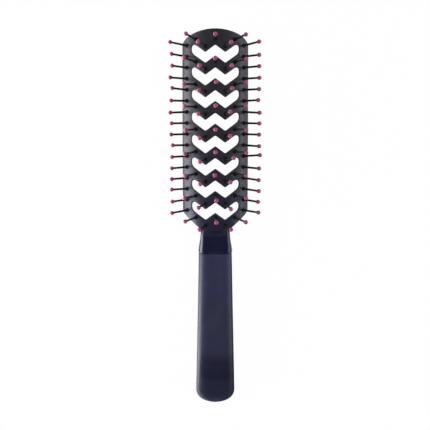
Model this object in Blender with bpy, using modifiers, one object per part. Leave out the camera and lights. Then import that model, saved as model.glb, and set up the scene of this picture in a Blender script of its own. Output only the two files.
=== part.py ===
# Vent brush lying on its back: the head's tip towards +Y, the pins upwards, the grip towards -Y.
# Metres, +Z up. The origin is under the middle of the brush, on the surface that it rests on.
import math

import bmesh
import bpy
from mathutils import Matrix, Vector

MM = 0.001

# Driving dimensions of the whole brush
OVERALL_LENGTH = 231 * MM
TIP_TO_HEAD_MIDDLE = 62.5 * MM
FIT_CLEARANCE = 0.3 * MM
CUT_OVERRUN = 1.5 * MM

# The head is a shell arched across its width and, much more gently, along its length
HEAD_WIDTH = 40 * MM
CROSS_RADIUS = 24.1 * MM
LENGTH_RADIUS = 540 * MM
SHELL_WALL = 2 * MM
TIP_ROUNDING = 8.9 * MM
TIP_POWER = 1.85
OUTLINE_MARGIN = 0.3 * MM
MIDDLE_TO_SHOULDER = 48.4 * MM
SHOULDER_ROUNDING = 4 * MM
MIDDLE_TO_THROAT = 58.4 * MM
THROAT_ROUNDING = 2 * MM
MIDDLE_TO_SHELL_END = 61 * MM
ARCH_STEPS_ACROSS = 18
ARCH_STEPS_ALONG = 14
TIP_STEPS = 8
CORNER_STEPS = 3

# The eight W-shaped vents, each a zigzag band of one slope
VENT_COUNT = 8
ROW_PITCH = 13.5 * MM
MIDDLE_TO_FIRST_VENT = 53 * MM
RAIL_WIDTH = 5.9 * MM
VENT_VALLEY_SHARE = 0.422
VENT_SLOPE = 0.74
VENT_BAND = 6.35 * MM
VENT_CORNER = 0.9 * MM
VENT_END_CORNER = 1.9 * MM
VENT_END_FOOT_CORNER = 3.9 * MM

# Ball-tipped pins: nine rows of five, and sixteen along each rail
ROW_COUNT = 9
RAIL_PIN_COUNT = 16
MIDDLE_TO_FIRST_ROW = 56.75 * MM
INNER_PIN_SETBACK = 4.55 * MM
RAIL_PIN_SETBACK = 2.97 * MM
RAIL_PIN_INSET = 4.33 * MM
RAIL_PIN_TO_OUTER_PIN = 6.81 * MM
PIN_REACH = 12.3 * MM
BALL_RADIUS = 1.3 * MM
SHAFT_ROOT_RADIUS = 0.6 * MM
SHAFT_END_RADIUS = 0.54 * MM
BOSS_RADIUS = 1.2 * MM
BOSS_HEIGHT = 0.8 * MM
SPIGOT_RADIUS = 0.5 * MM
HOLE_CLEARANCE = 0.35 * MM
PIN_HEAD_RADIUS = 1.2 * MM
PIN_HEAD_THICKNESS = 0.6 * MM
PIN_SIDES = 6
BALL_STEPS = 4

# The carrier strip behind each rail, which the rail's pins are moulded on
CARRIER_WIDTH = 2.6 * MM
CARRIER_THICKNESS = 0.9 * MM

# The neck grows out of the head's lower end and widens to a collar
MIDDLE_TO_NECK_ROOT = 57.9 * MM
NECK_ROOT_WIDTH = 15.6 * MM
NECK_ROOT_DEPTH = 3.4 * MM
MIDDLE_TO_WAIST = 61.8 * MM
WAIST_WIDTH = 18.3 * MM
WAIST_DEPTH = 7.6 * MM
MIDDLE_TO_COLLAR = 72.3 * MM
COLLAR_WIDTH = 20.95 * MM
COLLAR_TOP = 11 * MM
COLLAR_BOTTOM = 0.3 * MM
NECK_CORNER = 2.6 * MM
NECK_ROOT_CORNER = 1.2 * MM
NECK_STEPS = 4

# The grip is a soft sleeve over a tang that carries on from the neck
GROOVE_WIDTH = 1.1 * MM
GROOVE_DEPTH = 0.5 * MM
GRIP_START_WIDTH = 20.45 * MM
GRIP_END_WIDTH = 24.05 * MM
GRIP_SWELL_POWER = 1.15
GRIP_START_HEIGHT = 10.8 * MM
GRIP_PEAK_HEIGHT = 12.8 * MM
GRIP_PEAK_TO_BUTT = 35.5 * MM
GRIP_FALL_RADIUS = 120 * MM
GRIP_STEPS = 9
GRIP_CORNER = 3.4 * MM
GRIP_WALL = 1.8 * MM
TANG_END_TO_BUTT = 22 * MM
BUTT_ROUNDING = 8.8 * MM
BUTT_END_SHARE = 0.2
BUTT_FLATTENING_SHARE = 0.45
BUTT_STEPS = 6

SMOOTH_ANGLE = math.radians(40)
SCREW_MERGE = 0.0001

HEAD_MIDDLE_Y = OVERALL_LENGTH / 2 - TIP_TO_HEAD_MIDDLE
TIP_ROUNDING_START = TIP_TO_HEAD_MIDDLE - TIP_ROUNDING
OUTLINE_HALF_WIDTH = HEAD_WIDTH / 2 + OUTLINE_MARGIN
EDGE_ANGLE = math.asin(HEAD_WIDTH / 2 / CROSS_RADIUS)
RAIL_PIN_ANGLE = EDGE_ANGLE - RAIL_PIN_INSET / CROSS_RADIUS
OUTER_PIN_ANGLE = RAIL_PIN_ANGLE - RAIL_PIN_TO_OUTER_PIN / CROSS_RADIUS
INNER_PIN_ANGLE = OUTER_PIN_ANGLE / 2
VENT_HALF_WIDTH = HEAD_WIDTH / 2 - RAIL_WIDTH
VENT_VALLEY_OFFSET = VENT_HALF_WIDTH * VENT_VALLEY_SHARE
BALL_NECK_ANGLE = math.asin(SHAFT_END_RADIUS / BALL_RADIUS)

# The crown is as high as puts the rims' lowest corners, which are near the tip, on the surface.
# Each rim's wall stands square to the last step of the arch.
RIM_WALL_ANGLE = EDGE_ANGLE * (1 - 1 / ARCH_STEPS_ACROSS)
RIM_INSIDE = HEAD_WIDTH / 2 - SHELL_WALL * math.sin(RIM_WALL_ANGLE)
RIM_DROP = CROSS_RADIUS * (1 - math.cos(EDGE_ANGLE)) + SHELL_WALL * math.cos(RIM_WALL_ANGLE)
RIM_TO_LENGTH_AXIS = LENGTH_RADIUS - RIM_DROP
RIM_END_SHARE = (1 - (RIM_INSIDE / OUTLINE_HALF_WIDTH) ** TIP_POWER) ** (1 / TIP_POWER)
RIM_END = TIP_ROUNDING_START + TIP_ROUNDING * RIM_END_SHARE
CROWN_HEIGHT = LENGTH_RADIUS - math.sqrt(RIM_TO_LENGTH_AXIS**2 - RIM_END**2)
GRIP_START_Y = HEAD_MIDDLE_Y - MIDDLE_TO_COLLAR - GROOVE_WIDTH
GRIP_PEAK_Y = GRIP_PEAK_TO_BUTT - OVERALL_LENGTH / 2
BUTT_ROUNDING_Y = BUTT_ROUNDING - OVERALL_LENGTH / 2
TANG_END_Y = TANG_END_TO_BUTT - OVERALL_LENGTH / 2


def crown_at(y):
    return CROWN_HEIGHT - LENGTH_RADIUS + math.sqrt(LENGTH_RADIUS**2 - (y - HEAD_MIDDLE_Y) ** 2)


def arch_frame(along, around):
    # The place on the head's outer face at an arc length from its middle and an angle from its crown.
    # Its own +Z points straight out of the shell.
    to_length_axis = Matrix.Translation((0, HEAD_MIDDLE_Y, CROWN_HEIGHT - LENGTH_RADIUS))
    lean = Matrix.Rotation(-along / LENGTH_RADIUS, 4, "X")
    to_cross_axis = Matrix.Translation((0, 0, LENGTH_RADIUS - CROSS_RADIUS))
    swing = Matrix.Rotation(around, 4, "Y")
    to_face = Matrix.Translation((0, 0, CROSS_RADIUS))
    return to_length_axis @ lean @ to_cross_axis @ swing @ to_face


def eased(start, end, share):
    return start + (end - start) * share * share * (3 - 2 * share)


def rounded(corners, steps=CORNER_STEPS):
    # The outline through corners given as (x, y, radius), each one rounded by an arc of its radius.
    points = []
    for index, (x, y, radius) in enumerate(corners):
        corner = Vector((x, y))
        if not radius:
            points.append(corner)
            continue
        before = (Vector(corners[index - 1][:2]) - corner).normalized()
        after = (Vector(corners[(index + 1) % len(corners)][:2]) - corner).normalized()
        half_angle = before.angle(after) / 2
        centre = corner + (before + after).normalized() * radius / math.sin(half_angle)
        start = corner + before * radius / math.tan(half_angle) - centre
        end = corner + after * radius / math.tan(half_angle) - centre
        side = math.copysign(1, start.x * end.y - start.y * end.x)
        turn = side * start.angle(end)
        for step in range(steps + 1):
            points.append(centre + Matrix.Rotation(turn * step / steps, 2) @ start)
    return points


def with_left_half(right_half):
    # A closed outline from its right half, which runs from the top of the middle line to the bottom.
    return right_half + [(-x, y, radius) for x, y, radius in reversed(right_half) if x > 0]


def new_collection(name):
    collection = bpy.data.collections.new(name)
    bpy.context.scene.collection.children.link(collection)
    return collection


def new_material(name, colour, roughness):
    material = bpy.data.materials.new(name)
    material.use_nodes = True
    shader = material.node_tree.nodes["Principled BSDF"]
    shader.inputs["Base Color"].default_value = (*colour, 1)
    shader.inputs["Roughness"].default_value = roughness
    shader.inputs["Metallic"].default_value = 0
    return material


def new_part(name, mesh, *materials):
    obj = bpy.data.objects.new(name, mesh)
    brush.objects.link(obj)
    if not mesh.materials:
        for material in materials:
            mesh.materials.append(material)
    return obj


def new_cutter(name, mesh):
    cutter = bpy.data.objects.new(name, mesh)
    cutters.objects.link(cutter)
    cutter.hide_render = True
    cutter.display_type = "WIRE"
    return cutter


def add_boolean(obj, operation, other):
    modifier = obj.modifiers.new(other.name, "BOOLEAN")
    modifier.operation = operation
    modifier.object = other
    modifier.solver = "EXACT"


def finished_mesh(bm, name):
    bmesh.ops.recalc_face_normals(bm, faces=bm.faces)
    mesh = bpy.data.meshes.new(name)
    bm.to_mesh(mesh)
    bm.free()
    mesh.shade_smooth()
    mesh.set_sharp_from_angle(angle=SMOOTH_ANGLE)
    return mesh


def add_loft(bm, sections):
    # Sections are rings with as many points each, joined side by side and closed at both ends.
    rings = [[bm.verts.new(point) for point in section] for section in sections]
    for first, second in zip(rings, rings[1:]):
        for index, vert in enumerate(first):
            following = (index + 1) % len(first)
            bm.faces.new((vert, first[following], second[following], second[index]))
    bm.faces.new(rings[0])
    bm.faces.new(rings[-1])


def add_prism(bm, outline, low, high):
    add_loft(bm, [[(x, y, z) for x, y in outline] for z in (low, high)])


def turned_pin(name, foot):
    # A pin's profile turned about its own Z. The ball's faces take the second material, its coating.
    bm = bmesh.new()
    verts = [bm.verts.new((radius, 0, height)) for radius, height in pin_profile(foot)]
    for first, second in zip(verts, verts[1:]):
        bm.edges.new((first, second))
    outline = bpy.data.meshes.new(name + "_profile")
    bm.to_mesh(outline)
    bm.free()
    guide = new_cutter(name + "_profile", outline)
    screw = guide.modifiers.new("turn", "SCREW")
    screw.steps = PIN_SIDES
    screw.render_steps = PIN_SIDES
    screw.use_merge_vertices = True
    screw.merge_threshold = SCREW_MERGE
    graph = bpy.context.evaluated_depsgraph_get()
    mesh = bpy.data.meshes.new_from_object(guide.evaluated_get(graph))
    mesh.name = name
    mesh.shade_smooth()
    mesh.set_sharp_from_angle(angle=SMOOTH_ANGLE)
    bpy.data.objects.remove(guide)
    ball_foot = PIN_REACH - BALL_RADIUS * math.cos(BALL_NECK_ANGLE)
    for face in mesh.polygons:
        face.material_index = int(face.center.z > ball_foot)
    return mesh


# The head's shell, its outline from above and its vents
def shell_mesh():
    bm = bmesh.new()
    bmesh.ops.create_grid(bm, x_segments=ARCH_STEPS_ACROSS, y_segments=ARCH_STEPS_ALONG, size=1)
    ahead = TIP_TO_HEAD_MIDDLE + CUT_OVERRUN
    behind = MIDDLE_TO_SHELL_END + CUT_OVERRUN
    for vert in bm.verts:
        along = (ahead - behind) / 2 + vert.co.y * (ahead + behind) / 2
        vert.co = arch_frame(along, vert.co.x * EDGE_ANGLE).translation
    return finished_mesh(bm, "head_frame")


def head_outline():
    neck_half_width = WAIST_WIDTH / 2 - OUTLINE_MARGIN
    right_half = []
    for step in range(TIP_STEPS + 1):
        turn = math.pi / 2 * step / TIP_STEPS
        across = OUTLINE_HALF_WIDTH * math.sin(turn) ** (2 / TIP_POWER)
        up = TIP_ROUNDING * max(math.cos(turn), 0) ** (2 / TIP_POWER)
        right_half.append((across, HEAD_MIDDLE_Y + TIP_ROUNDING_START + up, 0))
    right_half.append((OUTLINE_HALF_WIDTH, HEAD_MIDDLE_Y - MIDDLE_TO_SHOULDER, SHOULDER_ROUNDING))
    right_half.append((neck_half_width, HEAD_MIDDLE_Y - MIDDLE_TO_THROAT, THROAT_ROUNDING))
    right_half.append((neck_half_width, HEAD_MIDDLE_Y - MIDDLE_TO_SHELL_END, 0))
    return rounded(with_left_half(right_half))


def vent_outline(along):
    top = HEAD_MIDDLE_Y + LENGTH_RADIUS * math.sin(along / LENGTH_RADIUS)
    valley = top - VENT_SLOPE * VENT_VALLEY_OFFSET
    end = valley + VENT_SLOPE * (VENT_HALF_WIDTH - VENT_VALLEY_OFFSET)
    right_half = [
        (0, top, VENT_CORNER),
        (VENT_VALLEY_OFFSET, valley, VENT_CORNER),
        (VENT_HALF_WIDTH, end, VENT_END_CORNER),
        (VENT_HALF_WIDTH, end - VENT_BAND, VENT_END_FOOT_CORNER),
        (VENT_VALLEY_OFFSET, valley - VENT_BAND, VENT_CORNER),
        (0, top - VENT_BAND, VENT_CORNER),
    ]
    return rounded(with_left_half(right_half))


def outline_cutter():
    bm = bmesh.new()
    add_prism(bm, head_outline(), -CUT_OVERRUN, CROWN_HEIGHT + CUT_OVERRUN)
    return new_cutter("outline_from_above", finished_mesh(bm, "outline_from_above"))


def vent_cutter():
    bm = bmesh.new()
    for index in range(VENT_COUNT):
        outline = vent_outline(MIDDLE_TO_FIRST_VENT - index * ROW_PITCH)
        add_prism(bm, outline, -CUT_OVERRUN, CROWN_HEIGHT + CUT_OVERRUN)
    return new_cutter("vents", finished_mesh(bm, "vents"))


# Places of the pins on the head
def row_places():
    # Each pin's name and its place: the arc length from the head's middle and the angle from its crown.
    places = {}
    for row in range(ROW_COUNT):
        along = MIDDLE_TO_FIRST_ROW - row * ROW_PITCH
        places[f"pin_row{row + 1}_centre"] = (along, 0)
        for side, sign in (("left", -1), ("right", 1)):
            places[f"pin_row{row + 1}_inner_{side}"] = (along - INNER_PIN_SETBACK, sign * INNER_PIN_ANGLE)
            places[f"pin_row{row + 1}_outer_{side}"] = (along, sign * OUTER_PIN_ANGLE)
    return places


def rail_places(sign):
    first = MIDDLE_TO_FIRST_ROW - RAIL_PIN_SETBACK
    return [(first - index * ROW_PITCH / 2, sign * RAIL_PIN_ANGLE) for index in range(RAIL_PIN_COUNT)]


def hole_cutter():
    bm = bmesh.new()
    places = [*row_places().values(), *rail_places(-1), *rail_places(1)]
    for along, around in places:
        bmesh.ops.create_cone(
            bm,
            cap_ends=True,
            segments=PIN_SIDES,
            radius1=SPIGOT_RADIUS + HOLE_CLEARANCE,
            radius2=SPIGOT_RADIUS + HOLE_CLEARANCE,
            depth=SHELL_WALL + 2 * CUT_OVERRUN,
            matrix=arch_frame(along, around) @ Matrix.Translation((0, 0, -SHELL_WALL / 2)),
        )
    return new_cutter("pin_holes", finished_mesh(bm, "pin_holes"))


def pin_profile(foot):
    # From the tip down: ball, tapered shaft, domed boss, the spigot through the shell, and the foot.
    profile = []
    for step in range(BALL_STEPS + 1):
        turn = (math.pi - BALL_NECK_ANGLE) * step / BALL_STEPS
        profile.append((BALL_RADIUS * math.sin(turn), PIN_REACH + BALL_RADIUS * math.cos(turn)))
    profile.append((SHAFT_ROOT_RADIUS, FIT_CLEARANCE + BOSS_HEIGHT))
    profile.append((BOSS_RADIUS, FIT_CLEARANCE))
    profile.append((SPIGOT_RADIUS, FIT_CLEARANCE))
    return profile + foot


def single_pin_mesh():
    behind = -SHELL_WALL - FIT_CLEARANCE
    foot = [
        (SPIGOT_RADIUS, behind),
        (PIN_HEAD_RADIUS, behind),
        (PIN_HEAD_RADIUS, behind - PIN_HEAD_THICKNESS),
        (0, behind - PIN_HEAD_THICKNESS),
    ]
    return turned_pin("pin", foot)


def make_row_pins(*materials):
    mesh = single_pin_mesh()
    for name, (along, around) in row_places().items():
        pin = new_part(name, mesh, *materials)
        pin.matrix_world = arch_frame(along, around)


def make_rail_pins(side, sign, *materials):
    inside = -SHELL_WALL - FIT_CLEARANCE
    places = rail_places(sign)
    spigot_end = inside - CARRIER_THICKNESS / 2
    shaft = turned_pin("rail_pin", [(SPIGOT_RADIUS, spigot_end), (0, spigot_end)])
    pins = bmesh.new()
    for along, around in places:
        first_new = len(pins.verts)
        pins.from_mesh(shaft)
        pins.verts.ensure_lookup_table()
        bmesh.ops.transform(pins, matrix=arch_frame(along, around), verts=pins.verts[first_new:])
    shafts = new_cutter(f"rail_shafts_{side}", finished_mesh(pins, f"rail_shafts_{side}"))

    strip = bmesh.new()
    half_width = CARRIER_WIDTH / 2
    corners = [
        (-half_width, 0, inside),
        (half_width, 0, inside),
        (half_width, 0, inside - CARRIER_THICKNESS),
        (-half_width, 0, inside - CARRIER_THICKNESS),
    ]
    start = places[0][0] + half_width
    length = start - places[-1][0] + half_width
    sections = []
    for step in range(RAIL_PIN_COUNT):
        frame = arch_frame(start - length * step / (RAIL_PIN_COUNT - 1), sign * RAIL_PIN_ANGLE)
        sections.append([frame @ Vector(corner) for corner in corners])
    add_loft(strip, sections)
    rail = new_part(f"rail_pins_{side}", finished_mesh(strip, f"rail_pins_{side}"), *materials)
    add_boolean(rail, "UNION", shafts)


# The handle: neck and tang are one piece with the head, and the grip is a sleeve
def handle_section(y, half_width, low, high, corner):
    corners = [
        (half_width, high, corner),
        (half_width, low, corner),
        (-half_width, low, corner),
        (-half_width, high, corner),
    ]
    return [(x, y, z) for x, z in rounded(corners)]


def grip_height(y):
    # The grip's face is straight up to its highest place, and past it falls away on an arc.
    if y < GRIP_PEAK_Y:
        return GRIP_PEAK_HEIGHT - GRIP_FALL_RADIUS + math.sqrt(GRIP_FALL_RADIUS**2 - (GRIP_PEAK_Y - y) ** 2)
    share = max(GRIP_START_Y - y, 0) / (GRIP_START_Y - GRIP_PEAK_Y)
    return GRIP_START_HEIGHT + (GRIP_PEAK_HEIGHT - GRIP_START_HEIGHT) * share


def grip_section(y, inset):
    share = max(GRIP_START_Y - y, 0) / (GRIP_START_Y - BUTT_ROUNDING_Y)
    half_width = (GRIP_START_WIDTH + (GRIP_END_WIDTH - GRIP_START_WIDTH) * share**GRIP_SWELL_POWER) / 2
    return handle_section(y, half_width - inset, inset, grip_height(y) - inset, GRIP_CORNER - inset)


def grip_sections(start_y, end_y, inset):
    length = end_y - start_y
    return [grip_section(start_y + length * step / GRIP_STEPS, inset) for step in range(GRIP_STEPS + 1)]


def neck_stations():
    # Each station's place, half width, lowest and highest point and corner radius.
    root_y = HEAD_MIDDLE_Y - MIDDLE_TO_NECK_ROOT
    waist_y = HEAD_MIDDLE_Y - MIDDLE_TO_WAIST
    collar_y = HEAD_MIDDLE_Y - MIDDLE_TO_COLLAR
    root_high = crown_at(root_y) - SHELL_WALL / 2
    waist_high = crown_at(waist_y)
    return [
        (root_y, NECK_ROOT_WIDTH / 2, root_high - NECK_ROOT_DEPTH, root_high, NECK_ROOT_CORNER),
        (waist_y, WAIST_WIDTH / 2, waist_high - WAIST_DEPTH, waist_high, NECK_CORNER),
        (collar_y, COLLAR_WIDTH / 2, COLLAR_BOTTOM, COLLAR_TOP, NECK_CORNER),
    ]


def neck_and_tang():
    bm = bmesh.new()
    stations = neck_stations()
    sections = [handle_section(*stations[0])]
    for first, second in zip(stations, stations[1:]):
        for step in range(1, NECK_STEPS + 1):
            share = step / NECK_STEPS
            y = first[0] + (second[0] - first[0]) * share
            sections.append(handle_section(y, *[eased(a, b, share) for a, b in zip(first[1:], second[1:])]))
    sections.append(grip_section(stations[-1][0], GROOVE_DEPTH))
    groove_end_y = GRIP_START_Y + FIT_CLEARANCE
    sections.append(grip_section(groove_end_y, GROOVE_DEPTH))
    sections.extend(grip_sections(groove_end_y, TANG_END_Y, GRIP_WALL + FIT_CLEARANCE))
    add_loft(bm, sections)
    return new_cutter("neck_and_tang", finished_mesh(bm, "neck_and_tang"))


def tang_cavity():
    bm = bmesh.new()
    add_loft(bm, grip_sections(GRIP_START_Y + CUT_OVERRUN, TANG_END_Y - FIT_CLEARANCE, GRIP_WALL))
    return new_cutter("tang_cavity", finished_mesh(bm, "tang_cavity"))


def make_head_frame(material):
    frame = new_part("head_frame", shell_mesh(), material)
    wall = frame.modifiers.new("wall", "SOLIDIFY")
    wall.thickness = SHELL_WALL
    wall.offset = -1
    wall.use_even_offset = True
    add_boolean(frame, "INTERSECT", outline_cutter())
    add_boolean(frame, "UNION", neck_and_tang())
    add_boolean(frame, "DIFFERENCE", vent_cutter())
    add_boolean(frame, "DIFFERENCE", hole_cutter())


def make_grip_sleeve(material):
    bm = bmesh.new()
    sections = grip_sections(GRIP_START_Y, BUTT_ROUNDING_Y, 0)
    half_width = GRIP_END_WIDTH / 2
    last_turn = math.acos(BUTT_END_SHARE)
    for step in range(1, BUTT_STEPS + 1):
        turn = last_turn * step / BUTT_STEPS
        narrow = math.cos(turn)
        y = BUTT_ROUNDING_Y - BUTT_ROUNDING * math.sin(turn) / math.sin(last_turn)
        middle = grip_height(y) / 2
        half_height = middle * (1 - BUTT_FLATTENING_SHARE * (1 - narrow))
        low, high = middle - half_height, middle + half_height
        sections.append(handle_section(y, half_width * narrow, low, high, GRIP_CORNER * narrow))
    add_loft(bm, sections)
    sleeve = new_part("grip_sleeve", finished_mesh(bm, "grip_sleeve"), material)
    add_boolean(sleeve, "DIFFERENCE", tang_cavity())


for leftover in list(bpy.data.objects):
    bpy.data.objects.remove(leftover, do_unlink=True)
brush = new_collection("vent_brush")
cutters = new_collection("cutters")
cutters.hide_render = True

make_head_frame(new_material("moulded_frame", (0.018, 0.018, 0.026), 0.3))
make_grip_sleeve(new_material("soft_touch_grip", (0.031, 0.031, 0.055), 0.55))
pin_materials = (
    new_material("nylon_pin", (0.008, 0.008, 0.01), 0.3),
    new_material("dipped_tip", (0.42, 0.03, 0.1), 0.2),
)
make_row_pins(*pin_materials)
make_rail_pins("left", -1, *pin_materials)
make_rail_pins("right", 1, *pin_materials)
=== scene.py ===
# Vent brush on its back in a white studio: every piece gets its finished shape and surface here,
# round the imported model. Metres, +Z up, the head's tip towards +Y.
import math
import random

import bmesh
import bpy
from mathutils import Matrix, Vector


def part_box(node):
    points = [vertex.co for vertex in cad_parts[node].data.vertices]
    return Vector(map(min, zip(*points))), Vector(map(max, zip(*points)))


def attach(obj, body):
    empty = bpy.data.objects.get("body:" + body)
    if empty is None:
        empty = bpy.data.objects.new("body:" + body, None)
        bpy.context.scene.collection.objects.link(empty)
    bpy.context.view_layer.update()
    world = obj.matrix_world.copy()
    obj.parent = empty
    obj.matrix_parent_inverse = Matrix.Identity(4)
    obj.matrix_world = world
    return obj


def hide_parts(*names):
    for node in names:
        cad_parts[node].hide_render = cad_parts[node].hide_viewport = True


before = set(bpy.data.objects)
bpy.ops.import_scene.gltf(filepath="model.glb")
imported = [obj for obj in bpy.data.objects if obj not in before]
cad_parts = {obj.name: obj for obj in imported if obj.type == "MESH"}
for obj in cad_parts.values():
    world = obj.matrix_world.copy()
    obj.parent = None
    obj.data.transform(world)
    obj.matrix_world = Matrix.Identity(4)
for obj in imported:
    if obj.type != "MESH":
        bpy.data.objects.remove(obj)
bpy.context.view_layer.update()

mm = 0.001
near = 0.001 * mm  # places that lie closer than this are the same
random.seed(7)

# What the frame says about the places of things
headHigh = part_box("head_frame")[1]
gripLow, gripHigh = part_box("grip_sleeve")
tipY, crown = headHigh.y, headHigh.z
gripStartY, buttY = gripHigh.y, gripLow.y


# Picking and shaping, as by hand

def choose(*pieces):
    bpy.ops.object.select_all(action="DESELECT")
    for piece in pieces:
        piece.select_set(True)
    bpy.context.view_layer.objects.active = pieces[0]


def editing(piece):
    choose(piece)
    bpy.ops.object.mode_set(mode="EDIT")
    bpy.ops.mesh.select_mode(type="VERT")


def doneEditing():
    bpy.ops.object.mode_set(mode="OBJECT")


def pickVerts(test):  # in edit mode: only the vertices whose place passes the test
    bpy.ops.mesh.select_all(action="DESELECT")
    cage = bmesh.from_edit_mesh(bpy.context.active_object.data)
    for vert in cage.verts:
        vert.select_set(test(vert.co))
    cage.select_flush_mode()


def pickOpenEdges():
    bpy.ops.mesh.select_all(action="DESELECT")
    bpy.ops.mesh.select_non_manifold()


def settle(piece, name):  # its place goes into its mesh
    choose(piece)
    piece.name = name
    piece.data.name = name
    bpy.ops.object.transform_apply(location=True, rotation=True, scale=True)
    return piece


def worked(piece, kind, **settings):  # one modifier, applied
    choose(piece)
    modifier = piece.modifiers.new(kind.title(), kind)
    for name, value in settings.items():
        setattr(modifier, name, value)
    bpy.ops.object.modifier_apply(modifier=modifier.name)


def cutBy(piece, operation, other):  # a Boolean that uses the other piece up
    worked(piece, "BOOLEAN", operation=operation, object=other, solver="EXACT")
    bpy.data.objects.remove(other, do_unlink=True)


def joined(pieces, name):
    choose(*pieces)
    bpy.ops.object.join()
    pieces[0].name = name
    return pieces[0]


def copied(piece, name):
    twin = piece.copy()
    twin.data = piece.data.copy()
    twin.name = name
    bpy.context.scene.collection.objects.link(twin)
    return twin


def smoothed(piece, angle=35):
    choose(piece)
    bpy.ops.object.shade_smooth_by_angle(angle=math.radians(angle))


def startPlate(width, length, middleY, z=0):  # a flat plate, left in edit mode
    bpy.ops.object.select_all(action="DESELECT")
    bpy.ops.mesh.primitive_plane_add(size=1, location=(0, middleY, z))
    bpy.ops.object.transform_apply(location=True, rotation=True, scale=True)
    bpy.ops.object.mode_set(mode="EDIT")
    bpy.ops.mesh.select_mode(type="VERT")
    bpy.ops.transform.resize(value=(width, length, 1), center_override=(0, middleY, z))
    return bpy.context.active_object


def loft(name, sections, steps=6, stretch=1.0):
    # Rounded oblongs that stand square to Y, as (y, half width, low, high, corner), joined and closed.
    # A stretch over 1 draws each corner out sideways, from a quarter circle to a quarter ellipse.
    bpy.ops.object.select_all(action="DESELECT")
    for count, (y, half, low, high, corner) in enumerate(sections):
        middle = (0, y, (low + high) / 2)
        bpy.ops.mesh.primitive_plane_add(size=1, location=middle, rotation=(math.pi / 2, 0, 0))
        if count == 0:
            bpy.ops.object.transform_apply(location=True, rotation=True, scale=True)
            bpy.ops.object.mode_set(mode="EDIT")
            bpy.ops.mesh.select_mode(type="VERT")
            bpy.ops.mesh.select_all(action="SELECT")
        bpy.ops.transform.resize(value=(2 * half / stretch, 1, high - low), center_override=middle)
        bpy.ops.mesh.bevel(affect="VERTICES", offset=corner, segments=steps, offset_type="OFFSET")
        bpy.ops.transform.resize(value=(stretch, 1, 1), center_override=middle)
    bpy.ops.mesh.select_all(action="SELECT")
    bpy.ops.mesh.delete(type="ONLY_FACE")
    bpy.ops.mesh.select_all(action="SELECT")
    bpy.ops.mesh.bridge_edge_loops()
    pickOpenEdges()
    bpy.ops.mesh.edge_face_add()
    bpy.ops.mesh.select_all(action="SELECT")
    bpy.ops.mesh.normals_make_consistent(inside=False)
    doneEditing()
    return settle(bpy.context.active_object, name)


def turned(name, profile, sides):
    # A profile of (radius, height) points from top to bottom, drawn by extruding one vertex, then spun
    bpy.ops.object.select_all(action="DESELECT")
    bpy.ops.mesh.primitive_plane_add(size=mm)
    bpy.ops.object.mode_set(mode="EDIT")
    bpy.ops.mesh.merge(type="CENTER")
    bpy.ops.transform.translate(value=(profile[0][0], 0, profile[0][1]))
    for (r1, z1), (r2, z2) in zip(profile, profile[1:]):
        bpy.ops.mesh.extrude_region_move(TRANSFORM_OT_translate={"value": (r2 - r1, 0, z2 - z1)})
    bpy.ops.mesh.select_all(action="SELECT")
    bpy.ops.mesh.spin(steps=sides, angle=2 * math.pi, center=(0, 0, 0), axis=(0, 0, 1))
    bpy.ops.mesh.select_all(action="SELECT")
    bpy.ops.mesh.remove_doubles(threshold=0.002 * mm)
    bpy.ops.mesh.normals_make_consistent(inside=False)
    doneEditing()
    return settle(bpy.context.active_object, name)


def eased(start, end, share):
    return start + (end - start) * share * share * (3 - 2 * share)


def spread(start, end, steps):
    return [start + (end - start) * step / steps for step in range(steps + 1)]


# Materials: a value is one output of a node, and plain sums on values add the Math nodes

class Value:
    def __init__(self, tree, socket=None):
        self.tree = tree
        self.socket = socket

    def node(self, kind, settings, inputs, output=0):  # settings first, then sockets, by number or name
        made = self.tree.nodes.new(kind)
        for name, setting in settings.items():
            setattr(made, name, setting)
        for name, given in inputs.items():
            if isinstance(given, Value):
                self.tree.links.new(given.socket, made.inputs[name])
            else:
                made.inputs[name].default_value = given
        return Value(self.tree, made.outputs[output])

    def sum(self, operation, *terms):
        return self.node("ShaderNodeMath", {"operation": operation}, dict(enumerate(terms)))

    def __add__(self, other):
        return self.sum("ADD", self, other)

    def __sub__(self, other):
        return self.sum("SUBTRACT", self, other)

    def __mul__(self, other):
        return self.sum("MULTIPLY", self, other)

    def __radd__(self, other):
        return self.sum("ADD", other, self)

    def __rsub__(self, other):
        return self.sum("SUBTRACT", other, self)

    def __rmul__(self, other):
        return self.sum("MULTIPLY", other, self)

    def ramped(self, low, high, start=0.0, end=1.0):  # smoothly, start at low, end at high
        settings = {"interpolation_type": "SMOOTHSTEP"}
        inputs = {"Value": self, "From Min": low, "From Max": high, "To Min": start, "To Max": end}
        return self.node("ShaderNodeMapRange", settings, inputs)

    def tint(self, first, second):  # a colour between two, by this value
        inputs = {0: self, 6: shade(first), 7: shade(second)}
        return self.node("ShaderNodeMix", {"data_type": "RGBA"}, inputs, 2)


def shade(colour):
    return colour if isinstance(colour, Value) else (*colour, 1)


def newMaterial(name, **constants):
    material = bpy.data.materials.new(name)
    material.use_nodes = True
    shader = material.node_tree.nodes["Principled BSDF"]
    for socket, value in constants.items():
        shader.inputs[socket.replace("_", " ")].default_value = value
    start = Value(material.node_tree)
    place = start.node("ShaderNodeTexCoord", {}, {}, "Object")
    return material, shader, start, place


def feed(shader, socket, value):
    value.tree.links.new(value.socket, shader.inputs[socket])


def noise(place, grain, detail=2.0, roughness=0.5):  # grain is the size of a blotch, in metres
    inputs = {"Vector": place, "Scale": 1 / grain, "Detail": detail, "Roughness": roughness}
    return place.node("ShaderNodeTexNoise", {}, inputs, "Fac")


def along(place, axis):
    return place.node("ShaderNodeSeparateXYZ", {}, {0: place}, axis)


def bumped(shader, height, depth, strength):
    inputs = {"Height": height, "Distance": depth, "Strength": strength}
    feed(shader, "Normal", height.node("ShaderNodeBump", {}, inputs, "Normal"))


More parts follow.
